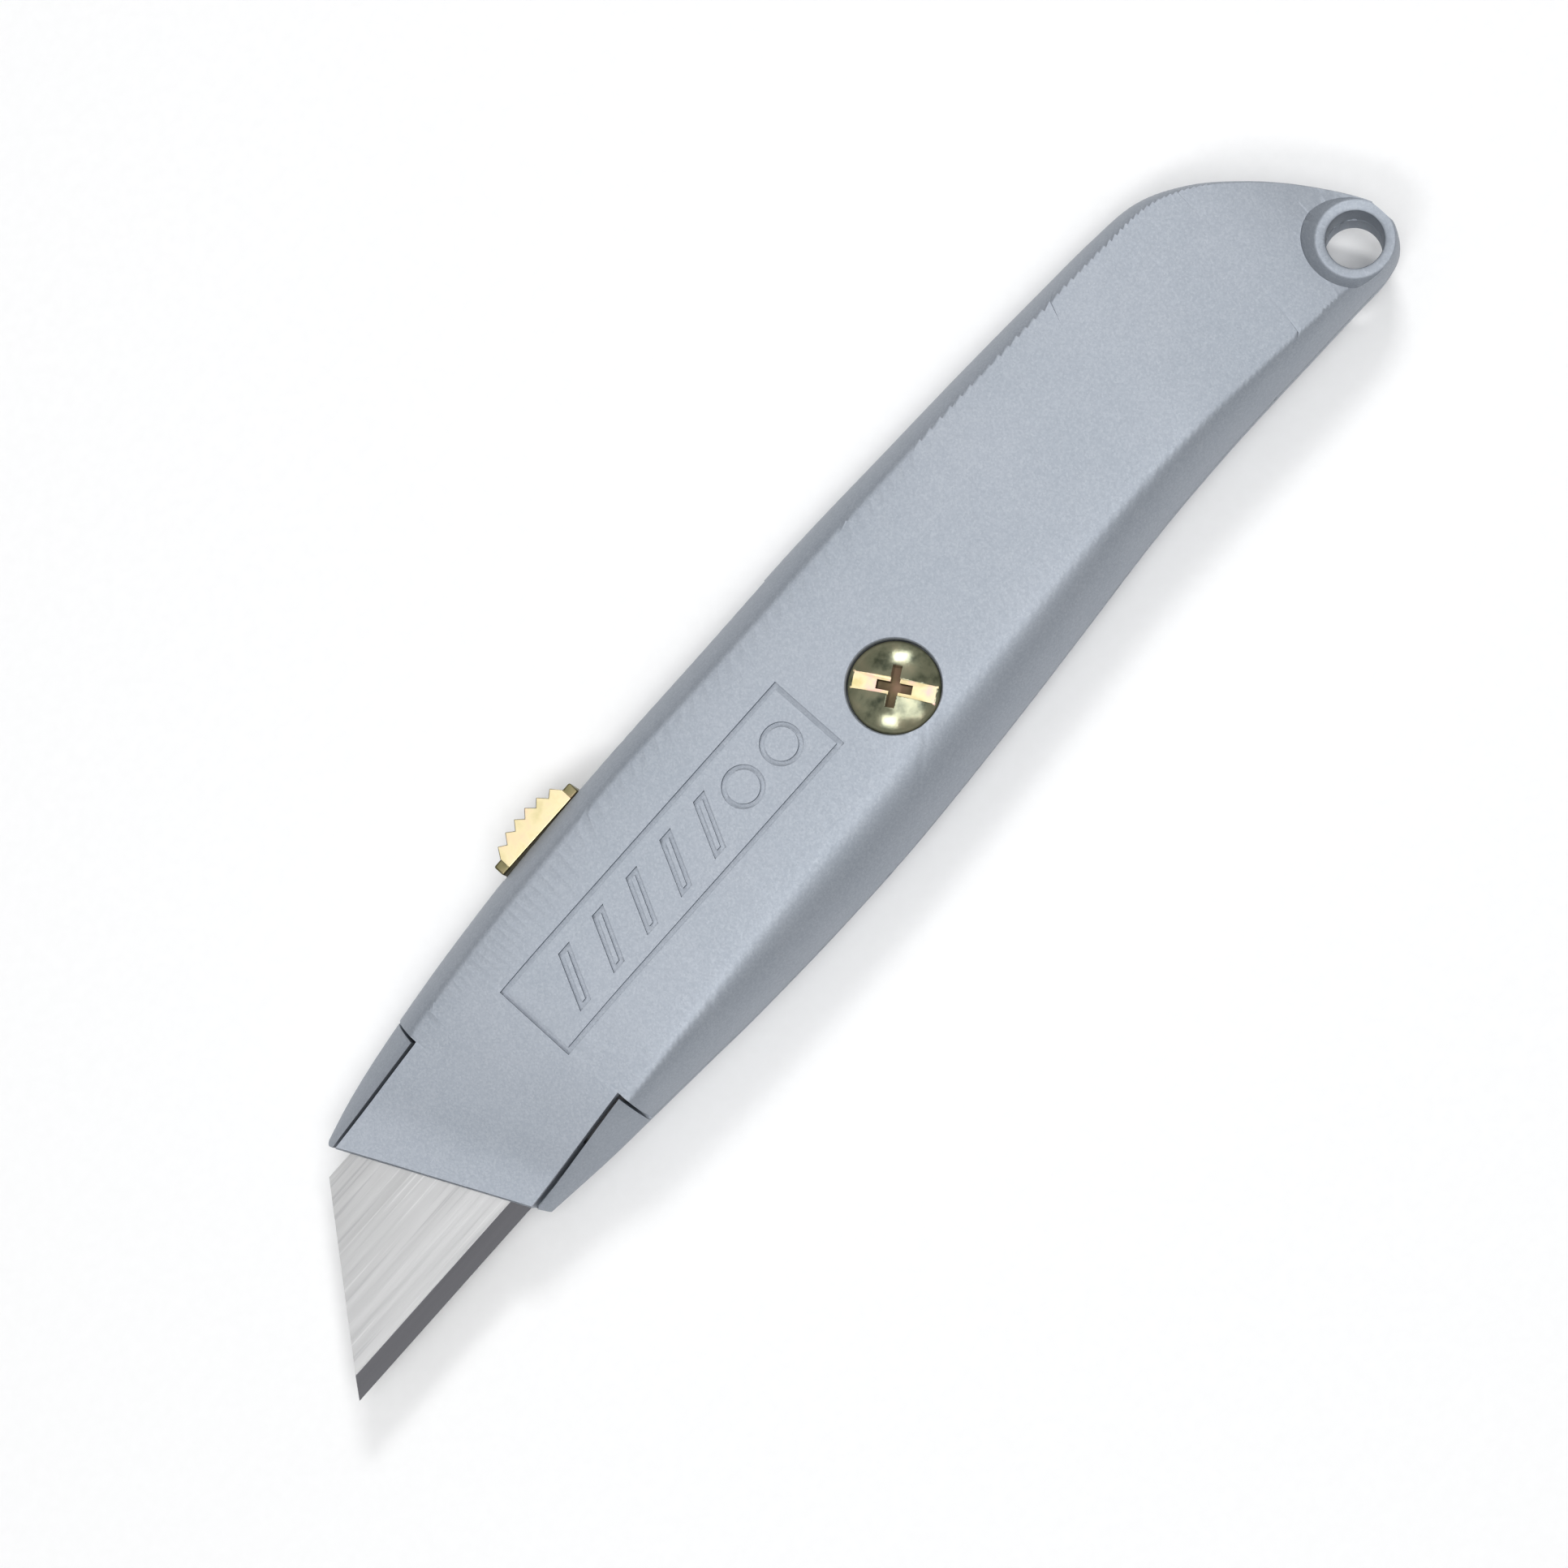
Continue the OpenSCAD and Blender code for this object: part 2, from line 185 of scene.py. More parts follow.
def tidy_normals(obj):
    """Weld double points and turn every face outwards."""
    bm = bmesh.new()
    bm.from_mesh(obj.data)
    bmesh.ops.remove_doubles(bm, verts=bm.verts, dist=1e-7)
    bmesh.ops.recalc_face_normals(bm, faces=bm.faces)
    bm.to_mesh(obj.data)
    bm.free()


def apply_modifiers(obj):
    """Replace the object's mesh by its evaluated one."""
    graph = bpy.context.evaluated_depsgraph_get()
    mesh = bpy.data.meshes.new_from_object(obj.evaluated_get(graph))
    obj.modifiers.clear()
    old = obj.data
    obj.data = mesh
    bpy.data.meshes.remove(old)


def combine(obj, other, how):
    """Cut, join or meet two solids, and drop the second."""
    step = obj.modifiers.new(how.lower(), "BOOLEAN")
    step.operation = how
    step.object = other
    step.solver = "MANIFOLD"
    apply_modifiers(obj)
    bpy.data.objects.remove(other)
    return obj


def cut(obj, *others):
    for other in others:
        combine(obj, other, "DIFFERENCE")


def join(obj, *others):
    for other in others:
        combine(obj, other, "UNION")


def round_edges(obj, width):
    """Bevel the sharp edges, then shade smooth between the flats.

    The clamp holds the width to about the shortest edge. The casings, the nose lips and
    the screw have edges of almost no length, so on them the bevel has almost no width.
    On the button and the leaf it has its full width.
    """
    bevel = obj.modifiers.new("edges", "BEVEL")
    bevel.width = width * MM
    bevel.segments = 3
    bevel.limit_method = "ANGLE"
    bevel.angle_limit = math.radians(BEVEL_FROM)
    bevel.harden_normals = False
    bevel.use_clamp_overlap = True
    apply_modifiers(obj)
    shade(obj)


def shade(obj):
    """Shade smooth, with sharp edges kept where faces meet steeply."""
    mesh = obj.data
    for face in mesh.polygons:
        face.use_smooth = True
    mesh.set_sharp_from_angle(angle=math.radians(SHARP_FROM))
    normals = obj.modifiers.new("normals", "WEIGHTED_NORMAL")
    normals.keep_sharp = True
    apply_modifiers(obj)


def block(low, high):
    """A box between two corners."""
    x0, y0, z0 = low
    x1, y1, z1 = high
    return prism([(x0, y0), (x1, y0), (x1, y1), (x0, y1)], z0, z1)


def prism(outline, low, high):
    """A solid over an outline in X and Y."""
    n = len(outline)
    verts = [(x, y, low) for x, y in outline] + [(x, y, high) for x, y in outline]
    faces = [[i, (i + 1) % n, n + (i + 1) % n, n + i] for i in range(n)]
    faces += [list(range(n))[::-1], list(range(n, 2 * n))]
    return new_object("prism", verts, faces)


def turned(profile, at, sides):
    """A solid turned about a vertical axis: profile is radius, height from axis to axis."""
    verts, rings = [], []
    for r, z in profile:
        if r < 1e-6:
            rings.append([len(verts)])
            verts.append((at[0], at[1], z))
            continue
        rings.append(list(range(len(verts), len(verts) + sides)))
        for k in range(sides):
            a = 2 * math.pi * k / sides
            verts.append((at[0] + r * math.cos(a), at[1] + r * math.sin(a), z))
    faces = []
    for a, b in zip(rings, rings[1:]):
        for k in range(sides):
            m = (k + 1) % sides
            if len(a) == 1:
                faces.append([a[0], b[m], b[k]])
            elif len(b) == 1:
                faces.append([a[k], a[m], b[0]])
            else:
                faces.append([a[k], a[m], b[m], b[k]])
    return new_object("turned", verts, faces)


def post(at, low, high, r, sides):
    """An upright cylinder."""
    return turned([(0, low), (r, low), (r, high), (0, high)], at, sides)


# ---- casing skin ----

def smooth_point(a, b, c, d, t):
    """A point of the smooth curve through four neighbours, for rows of numbers."""
    return [0.5 * (2 * q + (r - p) * t + (2 * p - 5 * q + 4 * r - s) * t * t
                   + (3 * q - p - 3 * r + s) * t ** 3)
            for p, q, r, s in zip(a, b, c, d)]


def skin_rows(first, last, steps):
    """Stations between two control stations, with steps to each of their spans."""
    def row(i):
        return STATIONS[max(0, min(len(STATIONS) - 1, i))]
    rows = [smooth_point(row(i - 1), row(i), row(i + 1), row(i + 2), k / steps)
            for i in range(first, last) for k in range(steps)]
    return rows + [list(row(last))]


def capped(h, cap):
    """The smaller of h and cap, with a soft corner between."""
    blend = 0.06
    return -blend * math.log(math.exp(-h / blend) + math.exp(-cap / blend))


def changed(row, drop, scale, widen):
    """A row that is lowered, with both of its rolls scaled and widened."""
    return list(row[:4]) + [row[4] - drop] + [w * scale + widen for w in row[5:7]]


def flank(width, height, power, parts, below, seam):
    """Inset and rise of the points from the parting plane up one rounded flank."""
    run = [(0.0, -below)] if below else []
    if seam:
        run += [(seam, 0.0), (seam * 0.25, seam * 0.45), (0.0, seam * 1.2)]
    for k in range(parts + 1):
        turn = math.pi / 2 * k / parts
        inset = width * (1 - max(math.cos(turn), 0.0) ** (2 / power))
        rise = height * math.sin(turn) ** (2 / power)
        if not seam or rise > seam * 1.6:
            run.append((inset, rise))
    return run


def section(row, side, powers, thin=0.0, below=0.0, parts=16, flats=8, seam=0.0):
    """Points round one half section, from the back over the face to the belly."""
    a, b = Vector(row[0:2]), Vector(row[2:4])
    along = (b - a).normalized()
    height = capped(row[4], HALF_THICK) - thin
    back = flank(row[5], height, powers[0], parts, below, seam)
    belly = flank(row[6], height, powers[1], parts, below, seam)
    start, end = row[5], (b - a).length - 2 * thin - row[6]
    plan = [(a + along * (thin + inset), rise) for inset, rise in back]
    plan += [(a + along * (thin + start + (end - start) * k / flats), height)
             for k in range(1, flats)]
    plan += [(b - along * (thin + inset), rise) for inset, rise in belly[::-1]]
    return [(p.x, p.y, MID_Z + side * rise) for p, rise in plan]


def loft(name, sections):
    """A closed skin over a row of sections."""
    n = len(sections[0])
    verts = [p for s in sections for p in s]
    faces = []
    for i in range(len(sections) - 1):
        for j in range(n):
            k = (j + 1) % n
            faces.append([i * n + j, i * n + k, (i + 1) * n + k, (i + 1) * n + j])
    faces.append(list(range(n)))
    last = (len(sections) - 1) * n
    faces.append([last + j for j in range(n)][::-1])
    return new_object(name, verts, faces)


def outer_half(name, side):
    """One casing's outside, eased at the nose."""
    rows = skin_rows(0, len(STATIONS) - 1, 8)
    inner = [a + (b - a) * 0.6 for a, b in zip(rows[0], rows[1])]
    rows = [changed(rows[0], NOSE_EASE, 1, 0), inner] + rows[1:]
    return loft(name, [section(r, side, OUTER_POWERS, seam=SEAM) for r in rows])


def hollow_half(side):
    """The space inside one casing, less the wall round the hang hole."""
    rows = [changed(r, 0, HOLLOW_ROLL, 0) for r in skin_rows(HOLLOW_FROM, HOLLOW_TO, 3)]
    space = loft("hollow", [section(r, side, HOLLOW_POWERS, WALL, 1.0, 7, 2) for r in rows])
    cut(space, post(HANG_AT, MID_Z - 10, MID_Z + 10, HANG_WALL_R, 48))
    return space


def lip_half():
    """The far casing's lips before they are trimmed to their spaces."""
    rows = [changed(r, LIP_DROP, 1, LIP_ROLL) for r in skin_rows(0, LIP_TO, 8)]
    return loft("lip", [section(r, 1, LIP_POWERS) for r in rows])


def nose_corners():
    """Cutters that round the two corners of the nose, seen from above."""
    back, belly = Vector(STATIONS[0][0:2]), Vector(STATIONS[0][2:4])
    next_back, next_belly = Vector(STATIONS[1][0:2]), Vector(STATIONS[1][2:4])
    for corner, one, other in ((back, belly, next_back), (belly, back, next_belly)):
        u, v = (one - corner).normalized(), (other - corner).normalized()
        half = u.angle(v) / 2
        middle = (u + v).normalized()
        reach = NOSE_CORNER_R / math.tan(half)
        centre = corner + middle * NOSE_CORNER_R / math.sin(half)
        first, last = corner + v * reach - centre, corner + u * reach - centre
        arc = [first.slerp(last, k / 10) + centre for k in range(11)]
        yield prism([tuple(q) for q in arc + [corner - middle * 4]], -1, TOP_Z + 1)


def lip_spaces(grow, low, high):
    """The two places in the nose where the far casing's lips stand."""
    back = [(-72, 7.85 - grow), (-52.2 + grow, 8.65 - grow), (-52.2 + grow, 20), (-72, 20)]
    belly = [(-62, -12.75 + grow), (-41.3 + grow, -11.8 + grow), (-41.3 + grow, -20),
             (-62, -20)]
    return prism(back, low, high), prism(belly, low, high)


def nose_paths(side):
    """The ways of the blade, the carrier and its nibs through the nose."""
    yield prism([(-90, -12.4), (-44, -12.4), (-44, 7.4), (-90, 7.4)],
                MID_Z - BLADE_GAP, MID_Z + BLADE_GAP)
    yield block((-65.2, 3.8, MID_Z - 1), (-46, 7.6, MID_Z + 1.15))
    if side < 0:
        yield block((-65.2, -6.4, MID_Z - 1.75), (-44, 7.9, MID_Z + 0.1))


def button_slot():
    """The slot in the back, as long as the button and its travel."""
    return block((BUTTON_LOW.x - SLOT_PLAY, 9, MID_Z - SLOT_HALF),
                 (BUTTON_HIGH.x + TRAVEL + SLOT_PLAY, 20, MID_Z + SLOT_HALF))


def hang_recess(side):
    """The sunk ring round the hang hole, with soft corners."""
    wall = [(4.2, 0.0), (4.36, 0.03), (4.5, 0.12), (5.72, 1.34), (5.95, 2.0), (6.0, 6.0)]
    ring = [(0, MID_Z + side * RIM_RISE)]
    ring += [(r, MID_Z + side * (RIM_RISE + z)) for r, z in wall]
    ring.append((0, MID_Z + side * (RIM_RISE + 6.0)))
    return turned(ring, HANG_AT, 128)


def hang_bore():
    """The through hole, with both of its rims eased."""
    ease, low, high = 0.3, MID_Z - RIM_RISE, MID_Z + RIM_RISE
    groove = [(HANG_R, MID_Z - 0.3), (HANG_R + 0.22, MID_Z - 0.08),
              (HANG_R + 0.22, MID_Z + 0.08), (HANG_R, MID_Z + 0.3)]
    return turned([(0, low - 9), (HANG_R + ease, low - 9), (HANG_R + ease, low - 0.001),
                   (HANG_R + 0.09, low + 0.12), (HANG_R, low + ease), *groove,
                   (HANG_R, high - ease), (HANG_R + 0.09, high - 0.12),
                   (HANG_R + ease, high + 0.001), (HANG_R + ease, high + 9),
                   (0, high + 9)], HANG_AT, 128)


def frame_cutter(low, high, line):
    """A thin rectangular groove: low and high are its outer corners."""
    outer = block((*low, TOP_Z - 3), (*high, TOP_Z + 1))
    cut(outer, block((low[0] + line, low[1] + line, TOP_Z - 4),
                     (high[0] - line, high[1] - line, TOP_Z + 2)))
    return outer


def engraved_outlines():
    """The plain frame, and the generic bars and rings inside it."""
    yield frame_cutter((-41.9, -5.1), (3.2, 5.1), 0.62)
    for k in range(BARS):
        x = BAR_FROM + BAR_PITCH * k
        bar = [(x, -3), (x + 1.8, -3), (x + 4.8, 3), (x + 3, 3)]
        inner = [(x + 0.88, -2.45), (x + 1.42, -2.45), (x + 3.92, 2.45), (x + 3.38, 2.45)]
        groove = prism(bar, TOP_Z - 3, TOP_Z + 1)
        cut(groove, prism(inner, TOP_Z - 4, TOP_Z + 2))
        yield groove
    for x in RINGS_X:
        ring = post((x, 0), TOP_Z - 3, TOP_Z + 1, RING_R, 64)
        cut(ring, post((x, 0), TOP_Z - 4, TOP_Z + 2, RING_INNER_R, 64))
        yield ring


def engraving():
    """All the engraved outlines, sunk to one depth under the skin."""
    grooves, *more = list(engraved_outlines())
    join(grooves, *more)
    floor = outer_half("floor_skin", 1)
    for vert in floor.data.vertices:
        vert.co.z -= ENGRAVED_DEPTH * MM
    cut(grooves, floor)
    return grooves


def near_casing():
    """The near casing's shell. The CAD's ribs and rack are out of sight, so left out."""
    shell = outer_half("near_casing_shell", 1)
    cut(shell, hollow_half(1))
    join(shell, post(SCREW_AT, MID_Z + 0.01, TOP_Z - 0.9, NEAR_BOSS_R, 64))
    cut(shell, post(SCREW_AT, MID_Z - 1, TOP_Z, SHANK_HOLES[0], 48))
    recess = turned([(0, TOP_Z - 2), (SCREW_R + 0.06, TOP_Z - 2),
                     (SCREW_R + 0.06, TOP_Z - 0.16), (SCREW_R + 0.12, TOP_Z - 0.06),
                     (SCREW_R + 0.24, TOP_Z + 0.02), (SCREW_R + 0.24, TOP_Z + 1),
                     (0, TOP_Z + 1)], SCREW_AT, 128)
    cut(shell, recess, *lip_spaces(0, MID_Z - 1, TOP_Z + 1), *nose_paths(1),
        button_slot(), hang_recess(1), hang_bore())
    cut(shell, engraving())
    round_edges(shell, 0.14)
    return shell


def far_casing():
    """The far casing's shell with its two nose lips, without the parts out of sight."""
    shell = outer_half("far_casing_shell", -1)
    cut(shell, hollow_half(-1))
    join(shell, post(SCREW_AT, 0.9, MID_Z - 0.01, FAR_BOSS_R, 64))
    cut(shell, post(SCREW_AT, 2.6, TOP_Z, SHANK_HOLES[1], 48), *nose_paths(-1), button_slot(),
        hang_recess(-1), hang_bore())
    for space in lip_spaces(-LIP_GAP, MID_Z - 0.001, TOP_Z + 1):
        lip = lip_half()
        combine(lip, space, "INTERSECT")
        cut(lip, *nose_paths(1))
        round_edges(lip, 0.3)
        join(shell, lip)
    cut(shell, *nose_corners())
    round_edges(shell, 0.16)
    return shell


# ---- screw, button, spring ----

def finish_faces(obj, index, chosen):
    """Give one of the object's materials to the faces chosen by centre and normal."""
    for face in obj.data.polygons:
        if chosen(face.center / MM, face.normal):
            face.material_index = index


def screw_head():
    """Domed head with a slot across it, a cross recess and a plain shank."""
    dome, soft, slot_deep, cross_deep = 13.0, 0.45, 0.85, 2.5
    top, rim = SCREW_HIGH.z, SCREW_R - 0.06
    meet = (rim - soft) / (1 - soft / dome)
    tilt = math.asin(meet / dome)
    corner_z = top - dome + (dome - soft) * math.cos(tilt)
    profile = [(0, TOP_Z - 13.9), (2.0, TOP_Z - 13.9), (SHANK_R, TOP_Z - 13.4),
               (SHANK_R, TOP_Z - 1.97), (rim, TOP_Z - 1.97)]
    for k in range(8):
        a = math.pi / 2 + (tilt - math.pi / 2) * k / 7
        profile.append((rim - soft + soft * math.sin(a), corner_z + soft * math.cos(a)))
    for k in range(15, -1, -1):
        a = tilt * k / 16
        profile.append((dome * math.sin(a), top - dome + dome * math.cos(a)))
    head = turned(profile, SCREW_AT, 128)
    head.name = "screw_body"
    for angle, long, wide, deep in ((0, 9.2, 1.9, slot_deep), (0, 4.0, 1.05, cross_deep),
                                    (90, 4.7, 1.05, cross_deep)):
        a = math.radians(angle + SLOT_TURN)
        along = Vector((math.cos(a), math.sin(a))) * long / 2
        across = Vector((-math.sin(a), math.cos(a))) * wide / 2
        centre = SCREW_AT.xy
        outline = [centre - along - across, centre + along - across,
                   centre + along + across, centre - along + across]
        cut(head, prism([tuple(q) for q in outline], top - deep, top + 3))
    round_edges(head, 0.09)
    return head, top - slot_deep


def thumb_button():
    """Sprung button: a curved row of saw teeth between two low end blocks, on a neck,
    with the shoulder, the lock lug and the legs that are out of sight."""
    x0, x1, crown = BUTTON_LOW.x, BUTTON_HIGH.x, BUTTON_HIGH.y
    mid, first, last = (x0 + x1) / 2, x0 + BUTTON_END, x1 - BUTTON_END
    pitch = (last - first) / BUTTON_TEETH

    def top(x):
        return crown - CROWN_DROP * ((x - mid) / (x1 - mid)) ** 2

    outline = [(first, NECK_Y)]
    for k in range(BUTTON_TEETH):
        x = first + k * pitch
        outline += [(x, top(x) - TOOTH_HIGH), (x + pitch / 2, top(x + pitch / 2))]
    outline += [(last, top(last) - TOOTH_HIGH), (last, NECK_Y)]
    button = prism(outline, MID_Z - 3, MID_Z + 3)
    button.name = "button_teeth"
    round_edges(button, 0.1)
    end_half = 2.8
    ends = [block((x, NECK_Y - 0.02, MID_Z - end_half),
                  (x + BUTTON_END + 0.2, BUTTON_END_Y, MID_Z + end_half))
            for x in (x0, last - 0.2)]
    for end in ends:
        round_edges(end, 0.22)
    neck = block((x0 + 0.15, 11, MID_Z - 2.45), (x1 - 0.15, NECK_Y + 0.3, MID_Z + 2.45))
    shoulder = block((x0, 10.8, MID_Z - 4.1), (x1, 11.4, MID_Z + 4.1))
    lug = block((LUG_X - 1.2, 10.9, MID_Z + 2.5), (LUG_X + 1.2, 11.85, MID_Z + 4.6))
    legs = [block((x - 0.8, BUTTON_LOW.y, MID_Z + 0.6), (x + 0.8, 11.2, MID_Z + 2.4))
            for x in (x0 + 1.4, x1 - 1.4)]
    join(button, *ends, neck, shoulder, lug, *legs)
    shade(button)
    return button


def leaf_spring():
    """The bent leaf under the button."""
    low, high, thick = BUTTON_LOW.y + 1.02, 10.43, 0.35
    bend = [(-38.6 + 8.6 * k / 8, low + (high - low) * (1 - math.cos(math.pi * k / 8)) / 2)
            for k in range(9)]
    line = [(-45.6, low)] + bend + [(-24, high)]
    leaf = prism(line + [(x, y + thick) for x, y in line[::-1]], MID_Z - 2, MID_Z + 0.3)
    leaf.name = "leaf_spring"
    round_edges(leaf, 0.05)
    return leaf


# ---- materials ----

class Nodes:
    """A material's node tree, with short ways to add to it."""

    def __init__(self, name):
        self.material = bpy.data.materials.new(name)
        self.material.use_nodes = True
        self.tree = self.material.node_tree
        self.tree.nodes.clear()
        self.out = self.add("ShaderNodeOutputMaterial")
        self.shader = self.add("ShaderNodeBsdfPrincipled")
        self.link(self.shader.outputs[0], self.out.inputs["Surface"])
        self.place = self.add("ShaderNodeTexCoord").outputs["Object"]

    def add(self, kind, **values):
        node = self.tree.nodes.new(kind)
        for key, value in values.items():
            setattr(node, key, value)
        return node

    def link(self, a, b):
        self.tree.links.new(a, b)

    def stretch(self, scale):
        node = self.add("ShaderNodeMapping")
        node.inputs["Scale"].default_value = scale
        self.link(self.place, node.inputs["Vector"])
        return node.outputs[0]

    def noise(self, scale, detail=2.0, where=None):
        node = self.add("ShaderNodeTexNoise")
        node.inputs["Scale"].default_value = scale
        node.inputs["Detail"].default_value = detail
        self.link(where or self.place, node.inputs["Vector"])
        return node.outputs["Fac"]

    def flakes(self, scale):
        node = self.add("ShaderNodeTexVoronoi")
        node.inputs["Scale"].default_value = scale
        self.link(self.place, node.inputs["Vector"])
        return node.outputs["Color"]

    def ramp(self, value, *stops):
        node = self.add("ShaderNodeValToRGB")
        ramp = node.color_ramp
        while len(ramp.elements) < len(stops):
            ramp.elements.new(0.5)
        for element, (at, colour) in zip(ramp.elements, stops):
            element.position = at
            element.color = (*colour, 1.0)
        self.link(value, node.inputs[0])
        return node.outputs[0]

    def mix(self, fac, a, b, kind="MIX"):
        node = self.add("ShaderNodeMix", data_type="RGBA", blend_type=kind)
        for value, socket in ((fac, node.inputs[0]), (a, node.inputs[6]),
                              (b, node.inputs[7])):
            if isinstance(value, (int, float)):
                socket.default_value = value
            elif isinstance(value, tuple):
                socket.default_value = (*value, 1.0)
            else:
                self.link(value, socket)
        return node.outputs[2]

    def span(self, value, low, high):
        node = self.add("ShaderNodeMapRange")
        node.inputs["To Min"].default_value = low
        node.inputs["To Max"].default_value = high
        self.link(value, node.inputs["Value"])
        return node.outputs[0]

    def below(self, y, soft):
        """1 where the object's Y is under y, and 0 over it."""
        parts = self.add("ShaderNodeSeparateXYZ")
        self.link(self.place, parts.inputs[0])
        node = self.add("ShaderNodeMapRange")
        node.inputs["From Min"].default_value = y + soft
        node.inputs["From Max"].default_value = y - soft
        self.link(parts.outputs["Y"], node.inputs["Value"])
        return node.outputs[0]

    def bump(self, height, strength, distance):
        node = self.add("ShaderNodeBump")
        node.inputs["Strength"].default_value = strength
        node.inputs["Distance"].default_value = distance
        self.link(height, node.inputs["Height"])
        return node.outputs[0]

    def set(self, **values):
        """Give the shader numbers or linked values, and return the finished material."""
        for key, value in values.items():
            socket = self.shader.inputs[SOCKETS[key]]
            if isinstance(value, (int, float)):
                socket.default_value = value
            else:
                self.link(value, socket)
        return self.material


SOCKETS = {"colour": "Base Color", "rough": "Roughness", "metal": "Metallic",
           "normal": "Normal", "gloss": "Specular IOR Level"}


def casing_paint():
    """Satin grey-blue paint with fine metal flakes and soft blotches."""
    m = Nodes("casing_paint")
    patch = m.noise(60, 3)
    blotch = m.noise(330, 3)
    base = m.ramp(patch, (0.35, (0.35, 0.385, 0.43)), (0.65, (0.38, 0.41, 0.455)))
    base = m.mix(m.span(blotch, 0.0, 0.55), base, (0.305, 0.34, 0.39))
    flake = m.flakes(5200)
    speck = m.ramp(flake, (0.1, (0.285, 0.315, 0.365)), (0.5, (0.375, 0.405, 0.46)),
                   (0.95, (0.55, 0.58, 0.62)))
    colour = m.mix(0.24, base, speck)
    fine = m.noise(2600, 2)
    rough = m.span(fine, 0.50, 0.64)
    normal = m.bump(fine, 0.14, 0.00007)
    return m.set(colour=colour, rough=rough, metal=0.5, normal=normal, gloss=0.5)


def zinc(name, deep, pale, spot, rough_low, rough_high, metal=1.0):
    """Chromated zinc: a tint that drifts between two shades, with warm spots."""
    m = Nodes(name)
    patch = m.noise(520, 3)
    tint = m.ramp(patch, (0.3, deep), (0.5, pale), (0.72, spot))
    fine = m.noise(3200, 2)
    rough = m.span(fine, rough_low, rough_high)
    normal = m.bump(fine, 0.10, 0.00003)
    return m.set(colour=tint, rough=rough, metal=metal, normal=normal)


def ground_steel(name, bevel_y=None):
    """Steel with lengthwise scratches, and painted reflection on the bevel below bevel_y: its colour goes nearly
    black to stand for the dark surroundings the bevel mirrors.
    """
    m = Nodes(name)
    lines = m.noise(900, 4, m.stretch((0.03, 1.0, 1.0)))
    patch = m.noise(90, 3)
    flat = m.mix(m.span(patch, 0.0, 0.5), (0.465, 0.465, 0.465), (0.39, 0.39, 0.40))
    scratch = m.noise(2200, 3, m.stretch((0.02, 1.0, 1.0)))
    streak = m.ramp(scratch, (0.30, (0.26, 0.26, 0.27)), (0.42, (0.46, 0.46, 0.46)),
                    (0.60, (0.46, 0.46, 0.46)), (0.70, (0.70, 0.70, 0.70)))
    colour = m.mix(0.35, flat, streak)
    if bevel_y is not None:
        # Painted reflection: below bevel_y the steel's colour goes nearly black, standing for the dark
        # surroundings the blade's bevel mirrors.
        bevel_painted_dark = m.below(bevel_y * MM, 0.00008)
        dark = m.mix(lines, (0.020, 0.020, 0.022), (0.045, 0.045, 0.048))
        colour = m.mix(bevel_painted_dark, colour, dark)
    rough = m.span(lines, 0.22, 0.40)
    normal = m.bump(lines, 0.12, 0.00004)
    return m.set(colour=colour, rough=rough, metal=1.0, normal=normal)


def floor_paper():
    """Plain pale paper."""
    m = Nodes("floor_paper")
    fine = m.noise(700, 2)
    colour = m.ramp(fine, (0.3, (0.95, 0.95, 0.95)), (0.7, (0.97, 0.97, 0.97)))
    return m.set(colour=colour, rough=0.9, gloss=0.1)


def wear(obj, *materials):
    """Give the object these materials, in the order of its face slots."""
    obj.data.materials.clear()
    for material in materials:
        obj.data.materials.append(material)


# ---- stage ----

def camera():
    """The photo's view of the knife. Returns the camera's right, up and back."""
    data = bpy.data.cameras.new("camera")
    data.sensor_fit = "HORIZONTAL"
    data.sensor_width = 36
    data.lens = 36 * VIEW_DISTANCE / VIEW_SPAN
    data.clip_start = 0.01
    data.clip_end = 20
    obj = bpy.data.objects.new("camera", data)
    back = Vector((0, -math.sin(VIEW_TILT), math.cos(VIEW_TILT)))
    across = Vector((1, 0, 0))
    over = back.cross(across)
    right = across * math.cos(VIEW_TURN) + over * math.sin(VIEW_TURN)
    up = back.cross(right)
    turn = Matrix((right, up, back)).transposed().to_4x4()
    obj.matrix_world = Matrix.Translation(VIEW_AIM + back * VIEW_DISTANCE) @ turn
    bpy.context.scene.collection.objects.link(obj)
    bpy.context.scene.camera = obj
    return right, up, back


def softbox(name, axes, turn, distance, size, power):
    """An area light: turn is its direction from the knife, in degrees towards the
    picture's right and top from the camera's own direction."""
    right, up, back = axes
    aside, above = (math.radians(a) for a in turn)
    toward = back + right * math.tan(aside) + up * math.tan(above)
    toward.normalize()
    level = (right - toward * right.dot(toward)).normalized()
    data = bpy.data.lights.new(name, "AREA")
    data.shape = "RECTANGLE"
    data.size, data.size_y = size
    data.energy = power
    obj = bpy.data.objects.new(name, data)
    basis = Matrix((level, toward.cross(level), toward)).transposed().to_4x4()
    obj.matrix_world = Matrix.Translation(VIEW_AIM + toward * distance) @ basis
    bpy.context.scene.collection.objects.link(obj)


def ceiling_card(low, high, reach, height, power):
    """A dim level card that the flat metal mirrors: low and high are the angles from
    the vertical, towards the knife's back, between which it hangs."""
    y0, y1 = (height * math.tan(math.radians(a)) for a in (low, high))
    data = bpy.data.lights.new("ceiling_card", "AREA")
    data.shape = "RECTANGLE"
    data.size, data.size_y = reach, y1 - y0
    data.energy = power
    obj = bpy.data.objects.new("ceiling_card", data)
    obj.location = VIEW_AIM + Vector((0, (y0 + y1) / 2, height))
    bpy.context.scene.collection.objects.link(obj)


